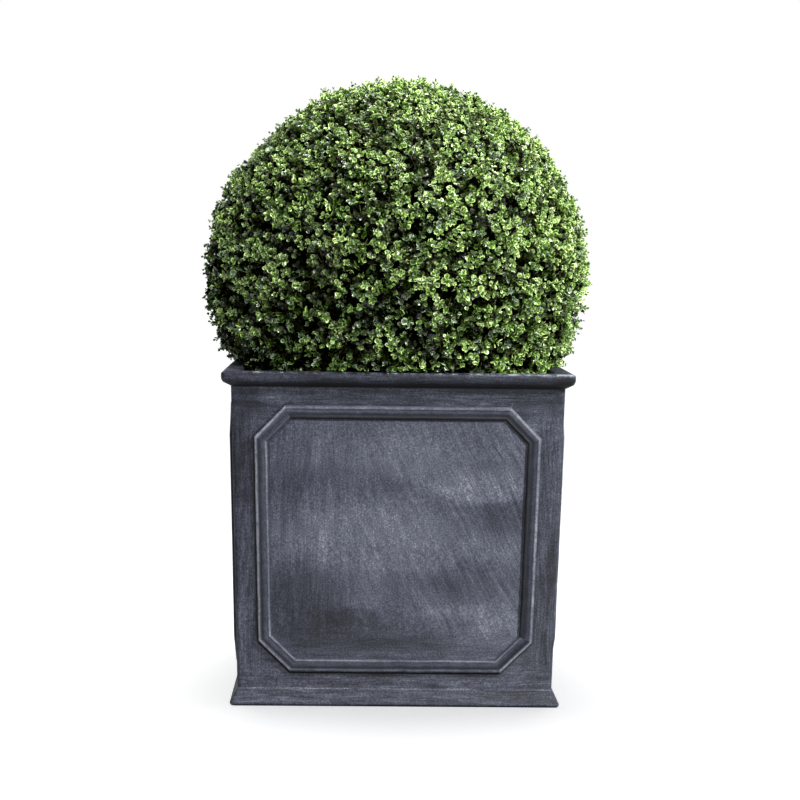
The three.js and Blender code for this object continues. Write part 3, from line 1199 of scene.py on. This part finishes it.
def sweep_tubes(name: str, paths: np.ndarray, radii: tuple[float, ...], sides: int) -> bpy.types.Object:
    """Sweeps a tapered tube along each path, closed at its end by a point.

    Args:
        name: The name of the piece.
        paths: The points of each path, as paths by points by three.
        radii: The radius at each point of a path, which is 0 at the last one.
        sides: How many sides a tube has.

    Returns:
        The linked piece.
    """
    first, second = square_to(unit(paths[:, -1] - paths[:, 0]))
    angles = (np.arange(sides) * FULL_TURN / sides)[None, :, None]
    ring = first[:, None, :] * np.cos(angles) + second[:, None, :] * np.sin(angles)
    rings = paths[:, :, None, :] + ring[:, None, :, :] * np.array(radii)[None, :, None, None]
    points = np.concatenate([rings[:, :-1].reshape(len(paths), -1, 3), paths[:, -1:, :]], axis=1)
    corners = []
    for step in range(len(radii) - 2):
        for k in range(sides):
            a, b = step * sides + k, step * sides + (k + 1) % sides
            corners += [(a, b, b + sides), (a, b + sides, a + sides)]
    last, tip = (len(radii) - 2) * sides, (len(radii) - 1) * sides
    corners += [(last + k, last + (k + 1) % sides, tip) for k in range(sides)]
    corners += [(0, k + 1, k) for k in range(1, sides - 1)]
    return join_copies(name, points, np.array(corners), {})


@dataclass(frozen=True)
class Dent:
    """A place where the shears went deeper into the ball, with its half width in degrees."""

    way: Triple
    half_width: float
    depth: float

    def depths(self, ways: np.ndarray) -> np.ndarray:
        """Gives how much deeper the ball was cut there.

        Args:
            ways: Directions, as unit rows.

        Returns:
            The depth at each, in metres.
        """
        near = ways @ np.array(self.way) / np.linalg.norm(self.way)
        share = np.clip(1 - np.degrees(np.arccos(np.clip(near, -1, 1))) / self.half_width, 0, 1)
        return share * share * (3 - 2 * share) * self.depth


@dataclass(frozen=True)
class Pattern:
    """Smooth noise over the ball: its strength, its patches to a radius, and where it is read."""

    strength: float
    scale: float
    shift: float

    def over(self, ways: np.ndarray) -> np.ndarray:
        """Gives its value at each direction, about 0."""
        offset = Vector((self.shift, self.shift * 2, self.shift * 3))
        return self.strength * np.array([noise.noise(Vector(way) * self.scale + offset) for way in ways])


@dataclass(frozen=True)
class PlanterRoom:
    """The room that the planter leaves for the ball: over its rim, beyond it, and inside over the compost."""

    rim_top: float = 0.5362
    rim_inner: float = 0.2492
    rim_outer: float = 0.2815
    rim_depth: float = 0.012
    soil_top: float = 0.4775
    lift: float = 0.014
    lift_beyond: float = 0.008
    rest_gap: float = 0.0004

    def clear(self, points: np.ndarray) -> np.ndarray:
        """Tells which points are in that room.

        Args:
            points: Points, with their coordinates on the last axis.

        Returns:
            True where a point is clear of the planter and the compost.
        """
        out, high = np.max(np.abs(points[..., :2]), axis=-1), points[..., 2]
        inside = (out < self.rim_inner) & (high > self.soil_top)
        beyond = (out > self.rim_outer) & (high > self.rim_top - self.rim_depth)
        return (high > self.rim_top) | inside | beyond

    def lifted(self, points: np.ndarray) -> np.ndarray:
        """Lifts the leaves that would dip a little into the rim or the compost, so that they rest on it.

        Args:
            points: The points of each leaf.

        Returns:
            The points, with those leaves raised.
        """
        out = np.max(np.abs(points[..., :2]), axis=(1, 2))
        rest = np.where(out < self.rim_inner, self.soil_top, self.rim_top)
        raised = rest + self.rest_gap - np.min(points[..., 2], axis=1)
        near = (raised > 0) & (raised < self.lift) & (out < self.rim_outer + self.lift_beyond)
        points[near, :, 2] += raised[near, None]
        return points


@dataclass
class Sprigs:
    """A set of sprigs as arrays: where each ends, which way it points, its turn, size and tone.

    The stretch says how much further apart their pairs of leaves are than usual.
    """

    heads: np.ndarray
    axes: np.ndarray
    turns: np.ndarray
    sizes: np.ndarray
    tones: np.ndarray
    stretch: float = 1.0

    def chosen(self, kept: np.ndarray) -> "Sprigs":
        """Gives the sprigs that are kept."""
        arrays = (self.heads, self.axes, self.turns, self.sizes, self.tones)
        return Sprigs(*(array[kept] for array in arrays), self.stretch)


@dataclass(frozen=True)
class BoxLeaf:
    """A small oval leaf of box, and how crossed pairs of it sit down a sprig, from the tip.

    Each row is a place along the leaf, its half width and its lift, in shares of the length. Each pair
    has its angle off the sprig in degrees, its size, and its chance to be one tone darker, as age and painted
    shade.
    The turn and the roll are in radians, and a shake says how much a leaf may differ from the next.
    """

    length: float = 0.0079
    width: float = 0.0069
    rows: tuple[Triple, ...] = ((0.0, 0.0, 0.0), (0.30, 0.88, -0.07), (0.76, 0.96, -0.03), (1.04, 0.0, 0.13))
    fold: float = 0.22
    tip_from: float = 0.9
    pairs: tuple[Triple, ...] = (
        (38.0, 0.72, 0.0), (62.0, 0.98, 0.12), (82.0, 1.06, 0.55), (104.0, 1.0, 0.85),
    )
    pair_gap: float = 0.0031
    foot: float = 0.0006
    turn_shake: float = 0.22
    angle_shake: float = 17.0
    roll_shake: float = 0.45
    size_shake: float = 0.09
    width_shake: float = 0.08
    tint: float = 0.5
    tint_fall: float = 0.06
    tint_shake: float = 0.24

    def template(self) -> tuple[np.ndarray, np.ndarray, np.ndarray]:
        """Models one leaf, folded along its midrib and cupped, one unit long along X.

        Returns:
            Its points, its triangles, and how near each point is to the margin.
        """
        shape = bmesh.new()
        steps = len(self.rows) - 1
        bmesh.ops.create_grid(shape, x_segments=steps, y_segments=2, size=1.0)
        for vert in shape.verts:
            along, half, lift = self.rows[round((vert.co.x + 1) / 2 * steps)]
            out = round(vert.co.y)
            vert.co = (along, out * half / 2, lift + abs(out) * half * self.fold)
        bmesh.ops.remove_doubles(shape, verts=shape.verts[:], dist=1e-5)
        bmesh.ops.triangulate(shape, faces=shape.faces[:])
        bmesh.ops.recalc_face_normals(shape, faces=shape.faces[:])
        shape.normal_update()
        if sum(face.normal.z for face in shape.faces) < 0:
            bmesh.ops.reverse_faces(shape, faces=shape.faces[:])
        shape.verts.index_update()
        points = np.array([vert.co[:] for vert in shape.verts])
        corners = np.array([[vert.index for vert in face.verts] for face in shape.faces])
        shape.free()
        return points, corners, np.clip(np.abs(points[:, 1]) * 4, points[:, 0] > self.tip_from, 1.0)

    def on(
        self, sprigs: Sprigs, template: np.ndarray, random: np.random.Generator
    ) -> tuple[np.ndarray, np.ndarray, np.ndarray]:
        """Sets crossed pairs of leaves down each sprig.

        Args:
            sprigs: The sprigs.
            template: The points of one leaf.
            random: The random numbers.

        Returns:
            The points of each leaf, the tone of each leaf, and its own tint from 0 to 1.
        """
        first, second = square_to(sprigs.axes)
        gap = self.pair_gap * sprigs.stretch
        count = len(sprigs.heads)
        # An older leaf, lower down the sprig and deeper in the ball, is one tone darker, as age and as
        # painted shade, but a mid one goes past grey to deep.
        darker = 1 + (sprigs.tones == list(Tone).index(Tone.MID))
        parts = []
        for number in range(2 * len(self.pairs)):
            pair, way = divmod(number, 2)
            angle, size, age_and_shade = self.pairs[pair]
            turn = sprigs.turns + pair * math.pi / 2 + way * math.pi
            turn = turn + random.normal(0, self.turn_shake, count)
            out = first * np.cos(turn)[:, None] + second * np.sin(turn)[:, None]
            bend = np.radians(angle + random.normal(0, self.angle_shake, count))[:, None]
            run = out * np.sin(bend) + sprigs.axes * np.cos(bend)
            face = sprigs.axes * np.sin(bend) - out * np.cos(bend)
            roll = random.normal(0, self.roll_shake, count)[:, None]
            side = np.cross(face, run)
            face, side = face * np.cos(roll) + side * np.sin(roll), side * np.cos(roll) - face * np.sin(roll)
            scale = size * sprigs.sizes * (1 + random.normal(0, self.size_shake, count))
            long = (self.length * scale)[:, None, None]
            wide = (self.width * scale * (1 + random.normal(0, self.width_shake, count)))[:, None, None]
            foot = sprigs.heads - sprigs.axes * (pair * gap * sprigs.sizes + self.foot)[:, None]
            leaf = foot[:, None, :] + template[None, :, 0:1] * run[:, None, :] * long
            leaf = leaf + template[None, :, 1:2] * side[:, None, :] * wide
            leaf = leaf + template[None, :, 2:3] * face[:, None, :] * long
            tones = np.minimum(sprigs.tones + (random.random(count) < age_and_shade) * darker, len(Tone) - 1)
            tints = np.clip(random.normal(self.tint - self.tint_fall * pair, self.tint_shake, count), 0, 1)
            parts.append((leaf, tones, tints))
        return tuple(np.concatenate(part) for part in zip(*parts))


@dataclass(frozen=True)
class Layer:
    """One layer of sprigs over the ball, with the share of each Tone.

    The radius says how far from the centre they end, the depth how much nearer some of them end, and
    the tilt how far they lean off the radial direction, in radians.
    """

    count: int
    radius: float
    depth: float
    tilt: float
    tones: tuple[float, ...]


@dataclass
class Growth:
    """How sprigs grow: where they end, which way they lean, and which tone they have.

    Hollows are where a pattern is low and at the dents. Sprays of one tone follow a pattern too, and
    are lighter towards the sun and darker where the sprigs are sunk, as painted light and shade.
    """

    room: PlanterRoom
    random: np.random.Generator
    place_shake: float = 0.6
    hollows: tuple[Pattern, ...] = (Pattern(1.1, 7.5, 1.7), Pattern(0.9, 24.0, 4.1))
    hollow_from: float = 0.30
    hollow_slope: float = 1.7
    hollow_share: float = 0.7
    dents: tuple[Dent, ...] = table_of(
        Dent,
        ((-0.70, -0.10, 0.71), 24.0, 0.014), ((-0.978, -0.05, 0.21), 8.0, 0.007),
        ((-0.92, -0.05, -0.39), 9.0, 0.009), ((-0.030, -0.296, 0.131), 7.0, 0.014),
        ((-0.118, -0.303, 0.010), 10.0, 0.013), ((-0.260, -0.130, -0.150), 15.0, 0.012),
        ((0.118, -0.193, 0.233), 6.0, 0.011), ((0.166, -0.280, 0.0), 5.0, 0.010),
        ((-0.060, -0.285, -0.140), 7.0, 0.011), ((-0.215, -0.200, 0.100), 8.0, 0.008),
    )
    upward: float = 0.10
    sprays: Pattern = Pattern(0.8, 11.0, 8.3)
    spray_from: float = 0.44
    spray_shake: float = 0.2
    spray_sunk: float = 0.35
    spray_sun: float = 0.34
    sunny: Triple = (0.46, -0.42, 0.53)
    size_shake: float = 0.18
    size_limits: tuple[float, float] = (0.65, 1.4)
    twig_clear: float = 0.004
    stray_count: int = 800
    stray_reach: float = 0.3303
    stray_depth: float = 0.006
    stray_bunching: float = 0.6
    stray_tilt: float = 0.16
    stray_tones: tuple[float, ...] = (0.08, 0.25, 0.37, 0.30)
    stray_size: float = 0.84
    stray_stretch: float = 1.8
    stray_clear: float = 0.01
    tip_reach: float = 0.3263

    def dented(self, ways: np.ndarray) -> np.ndarray:
        """Gives how much deeper than a true ball it was cut at each direction, in metres."""
        return sum(dent.depths(ways) for dent in self.dents)

    def layer(self, layer: Layer) -> Sprigs:
        """Grows one layer of sprigs.

        Args:
            layer: What the layer is like.

        Returns:
            The sprigs whose place is clear of the planter.
        """
        count = layer.count
        ways = spiral(count)
        ways = unit(ways + self.random.normal(0, self.place_shake / math.sqrt(count), ways.shape))
        hollow = sum(pattern.over(ways) for pattern in self.hollows)
        sunk = np.clip(self.hollow_from - hollow * self.hollow_slope, 0, 1) * self.hollow_share
        sunk = sunk + self.random.random(count) * (1 - self.hollow_share)
        far = layer.radius - sunk * layer.depth - self.dented(ways)
        heads = np.array(BALL_CENTRE) + ways * far[:, None]
        lean = self.random.normal(0, layer.tilt, ways.shape)
        axes = unit(ways + lean + np.array([0.0, 0.0, self.upward]))
        spray = self.spray_from + self.sprays.over(ways) + self.random.normal(0, self.spray_shake, count)
        # Lighter tones towards the sun and darker ones where the sprig is sunk: painted light and shade.
        spray = spray + self.spray_sunk * sunk - self.spray_sun * (ways @ np.array(self.sunny))
        tones = np.searchsorted(np.cumsum(layer.tones) / np.sum(layer.tones), np.clip(spray, 0.0, 0.999))
        turns = self.random.random(count) * FULL_TURN
        sizes = np.clip(1.0 + self.random.normal(0, self.size_shake, count), *self.size_limits)
        clear = self.room.clear(heads - axes * self.twig_clear)
        return Sprigs(heads, axes, turns, sizes, tones).chosen(clear)

    def strays(self) -> Sprigs:
        """Grows the few sprigs that stand proud, with the five furthest tips among them.

        Returns:
            The stray sprigs.
        """
        tips = np.array([[0, 0, 1], [1, 0, 0], [-1, 0, 0], [0, 1, 0], [0, -1, 0]], float)
        ways = np.vstack([tips, unit(self.random.normal(0, 1, (self.stray_count, 3)))])
        count, first = len(ways), len(tips)
        far = self.stray_reach - self.random.random(count) ** self.stray_bunching * self.stray_depth
        far[:first] = self.tip_reach
        far[first:] -= self.dented(ways[first:])
        axes = unit(ways + self.random.normal(0, self.stray_tilt, ways.shape))
        axes[:first] = tips
        heads = np.array(BALL_CENTRE) + ways * far[:, None]
        tones = self.random.choice(len(self.stray_tones), count, p=self.stray_tones)
        turns = self.random.random(count) * FULL_TURN
        strays = Sprigs(heads, axes, turns, np.full(count, self.stray_size), tones, self.stray_stretch)
        return strays.chosen(self.room.clear(heads - axes * self.stray_clear))


@dataclass
class FoliageBall:
    """The clipped ball: a dark core, limbs and twigs from the fork, and sprigs of paired leaves."""

    room: PlanterRoom = PlanterRoom()
    leaf: BoxLeaf = BoxLeaf()
    outer: Layer = Layer(6700, 0.323, 0.024, 0.42, (0.23, 0.27, 0.19, 0.16, 0.11, 0.04))
    # The inner layer is mostly of the DEEP and SHADE tones: painted shade deep in the ball.
    inner: Layer = Layer(4200, 0.300, 0.016, 0.55, (0.0, 0.0, 0.10, 0.10, 0.48, 0.32))
    fork: Triple = (0.005, 0.0, 0.640)
    core_radius: float = 0.266
    core_foot: float = 0.5075
    core_lump: float = 0.011
    core_lumps: Triple = (9.0, 24.0, 0.6)
    core_steps: int = 6
    limb_count: int = 122
    limb_radii: Triple = (0.0042, 0.003024, 0.0)
    limb_out: float = 0.012
    limb_sag: float = 0.012
    limb_sides: int = 6
    limb_bark: BarkFinish = BarkFinish("limb_bark", paint(30, 24, 17), paint(88, 76, 54), 260.0)
    twig_radii: Triple = (0.0011, 0.0008, 0.0)
    twig_start: float = 0.012
    twig_along: float = 0.017
    twig_in: float = 0.004
    twig_sides: int = 3
    twig_bark: BarkFinish = BarkFinish("twig_bark", paint(52, 52, 26), paint(96, 96, 50), 260.0)
    seed: int = 26

    def wood(self, sprigs: list[Sprigs]) -> None:
        """Makes limbs from the fork in every clear direction, and a twig from a limb to each sprig.

        Args:
            sprigs: The layers of sprigs.
        """
        centre, fork = np.array(BALL_CENTRE), np.array(self.fork)
        ends = centre + spiral(self.limb_count) * (self.core_radius + self.limb_out)
        ends = ends[self.room.clear(ends)]
        middle = (ends + fork) / 2 - np.array([0.0, 0.0, self.limb_sag])
        paths = np.stack([np.broadcast_to(fork, ends.shape), middle, ends], axis=1)
        piece = sweep_tubes("box_limbs", paths, self.limb_radii, self.limb_sides)
        install(piece, Node.FOLIAGE, self.limb_bark.material())

        heads = np.concatenate([layer.heads for layer in sprigs])
        axes = np.concatenate([layer.axes for layer in sprigs])
        outward = unit(heads - centre)
        nearest = np.argmax(outward @ unit(ends - centre).T, axis=1)
        start = ends[nearest] - unit(ends - fork)[nearest] * self.twig_start
        elbow = heads - axes * self.twig_along - outward * self.twig_in
        paths = np.stack([start, elbow, heads], axis=1)
        paths = paths[self.room.clear(paths).all(axis=1)]
        piece = sweep_tubes("box_twigs", paths, self.twig_radii, self.twig_sides)
        install(piece, Node.FOLIAGE, self.twig_bark.material())

    def core(self) -> None:
        """Models the dark core: a lumpy ball cut level above the compost."""
        shape = bmesh.new()
        bmesh.ops.create_icosphere(shape, subdivisions=self.core_steps, radius=1.0)
        for vert in shape.verts:
            way = vert.co.normalized()
            radius = self.core_radius + self.core_lump * lumps(way, *self.core_lumps)
            vert.co = Vector(BALL_CENTRE) + way * radius
        whole = shape.verts[:] + shape.edges[:] + shape.faces[:]
        cut = bmesh.ops.bisect_plane(
            shape, geom=whole, plane_co=(0, 0, self.core_foot), plane_no=(0, 0, -1), clear_outer=True
        )
        bmesh.ops.contextual_create(shape, geom=only(cut["geom_cut"], BMEdge))
        piece = finish_mesh("inner_shade", shape, crease=180, flat_from=0.01)
        install(piece, Node.FOLIAGE, CoreFinish().material())

    def leaves(self, sprigs: list[Sprigs], random: np.random.Generator) -> None:
        """Makes the leaves that keep to their room and to the box of the CAD, one piece for each tone.

        Args:
            sprigs: The layers of sprigs.
            random: The random numbers.
        """
        template, corners, margin = self.leaf.template()
        made = [self.leaf.on(layer, template, random) for layer in sprigs]
        points, tones, tints = (np.concatenate(part) for part in zip(*made))
        points = self.room.lifted(points)
        low, high = (np.array(corner) for corner in CAD_BOX)
        kept = self.room.clear(points).all(axis=1) & ((points > low) & (points < high)).all(axis=(1, 2))
        LOG.info("%d leaves", np.count_nonzero(kept))
        for number, tone in enumerate(Tone):
            chosen = kept & (tones == number)
            shape = (np.count_nonzero(chosen), len(template))
            numbers = {
                "margin": np.broadcast_to(margin, shape),
                "tint": np.broadcast_to(tints[chosen][:, None], shape),
            }
            piece = join_copies(f"leaves_{tone.value.name}", points[chosen], corners, numbers)
            install(piece, Node.FOLIAGE, tone.value.material())

    def build(self) -> None:
        """Makes the core, the wood and the leaves."""
        self.core()
        growth = Growth(self.room, np.random.default_rng(self.seed))
        sprigs = [growth.layer(self.outer), growth.layer(self.inner), growth.strays()]
        self.wood(sprigs)
        self.leaves(sprigs, growth.random)


@dataclass(frozen=True)
class SoftLight:
    """A round soft light that the camera doesn't see."""

    name: str
    place: Triple
    size: float
    power: float
    lights_floor: bool = True
    aim: Triple = (0.0, 0.0, 0.6)

    def build(self, floor: bpy.types.Object) -> None:
        """Hangs the light, turns it to its aim, and keeps its cast shadow off the floor where that is wanted.

        Args:
            floor: The studio's floor.
        """
        data = bpy.data.lights.new(self.name, "AREA")
        data.shape, data.size, data.energy = "DISK", self.size, self.power
        light = link(self.name, data)
        light.visible_camera = False
        turned = (Vector(self.aim) - Vector(self.place)).to_track_quat("-Z", "Y").to_matrix().to_4x4()
        light.matrix_world = Matrix.Translation(self.place) @ turned
        if not self.lights_floor:
            unlit = bpy.data.collections.new(f"not_lit_by_{self.name}")
            unlit.objects.link(floor)
            unlit.collection_objects[0].light_linking.link_state = "EXCLUDE"
            light.light_linking.receiver_collection = unlit


@dataclass
class Studio:
    """The camera, the pale floor and the soft light."""

    eye: Triple = (-0.076, -3.624, 0.720)
    yaw: float = 1.34
    pitch: float = 3.89
    roll: float = 0.69
    lens: float = 95.85
    sensor: float = 36.0
    sight: float = 100.0
    floor_size: float = 60.0
    floor_paint: float = 0.66
    floor_shift: float = 0.01
    floor_patches: float = 3.0
    floor_glow: float = 0.635
    floor_tint: Colour = (0.985, 0.99, 1.0)
    far_glow: float = 0.75
    glow_grows: tuple[float, float] = (0.7, 3.0)
    backdrop: float = 1.0
    dome_paint: Colour = (0.8, 0.8, 0.8)
    dome_turns: tuple[float, float] = (-0.5, 0.6)
    front_dome: float = 0.17
    back_dome: float = 0.96
    lights: tuple[SoftLight, ...] = (
        SoftLight("key", (2.5, -1.7, 2.5), 0.34, 236.0, False),
        SoftLight("front", (0.9, -3.7, 2.4), 0.30, 188.0, False),
        SoftLight("top", (0.0, 0.5, 3.6), 1.8, 92.0),
    )

    def camera(self) -> None:
        """Sets the camera where the picture was taken from."""
        yaw, pitch, roll = (math.radians(angle) for angle in (self.yaw, self.pitch, self.roll))
        ahead = Vector((math.sin(yaw) * math.cos(pitch), math.cos(yaw) * math.cos(pitch), -math.sin(pitch)))
        right = Vector((math.cos(yaw), -math.sin(yaw), 0.0))
        up = right.cross(ahead)
        right, up = right * math.cos(roll) + up * math.sin(roll), up * math.cos(roll) - right * math.sin(roll)
        data = bpy.data.cameras.new("camera")
        data.sensor_width, data.lens, data.clip_end = self.sensor, self.lens, self.sight
        camera = link("camera", data)
        turned = Matrix((right, up, -ahead)).transposed().to_4x4()
        camera.matrix_world = Matrix.Translation(self.eye) @ turned
        bpy.context.scene.camera = camera

    def floor(self) -> bpy.types.Object:
        """Lays the pale floor, which glows a little so that only the contact shadow shows on it.

        Returns:
            The floor.
        """
        shape = bmesh.new()
        bmesh.ops.create_circle(shape, cap_ends=True, radius=self.floor_size, segments=64)
        piece = finish_mesh("studio_floor", shape, crease=30, flat_from=0.0)
        sheet = NodeSheet("floor_paint")
        place = sheet.place()
        tone = sheet.noise(place, self.floor_patches) * self.floor_shift + self.floor_paint
        near = tuple(part * self.floor_glow / self.far_glow for part in self.floor_tint)
        values = {
            "Base Color": sheet.mix(tone, BLACK, WHITE),
            "Roughness": 0.7,
            "Specular IOR Level": 0.1,
            "Emission Color": sheet.mix(sheet.length(place).rise(*self.glow_grows), near, WHITE),
            "Emission Strength": self.far_glow,
        }
        sheet.end(sheet.node("ShaderNodeBsdfPrincipled", None, values))
        piece.data.materials.append(sheet.owner)
        piece.visible_diffuse = False
        return piece

    def dome(self) -> None:
        """Makes the white room: a plain backdrop, and light that is softer from the front than behind."""
        sheet = NodeSheet("dome", bpy.data.worlds)
        way = sheet.split(sheet.node("ShaderNodeTexCoord", output="Generated"))[1]
        start, end = self.dome_turns
        values = {0: way, 1: start, 2: end, 3: self.front_dome, 4: self.back_dome}
        level = sheet.node("ShaderNodeMapRange", {"interpolation_type": "SMOOTHSTEP"}, values)
        lit = sheet.node("ShaderNodeBackground", None, {"Color": self.dome_paint, "Strength": level})
        plain = sheet.node("ShaderNodeBackground", None, {"Color": WHITE, "Strength": self.backdrop})
        seen = sheet.node("ShaderNodeLightPath", output="Is Camera Ray")
        choice = sheet.node("ShaderNodeMixShader", None, {0: seen, 1: lit, 2: plain})
        sheet.end(choice, "ShaderNodeOutputWorld")
        bpy.context.scene.world = sheet.owner

    def build(self) -> None:
        """Sets up the camera, the floor, the light and the plain view of the colours."""
        self.camera()
        floor = self.floor()
        self.dome()
        for light in self.lights:
            light.build(floor)
        bpy.context.scene.view_settings.view_transform = "Standard"


def main() -> None:
    """Builds the studio and each part of the object."""
    logging.basicConfig(level=logging.INFO, format="%(name)s %(message)s", stream=sys.stdout)
    lines = PanelLines()
    Studio().build()
    Planter(lines).build(LeadWash(lines))
    PottingSoil(lines).build()
    Stem().build()
    FoliageBall().build()


if __name__ == "__main__":
    main()
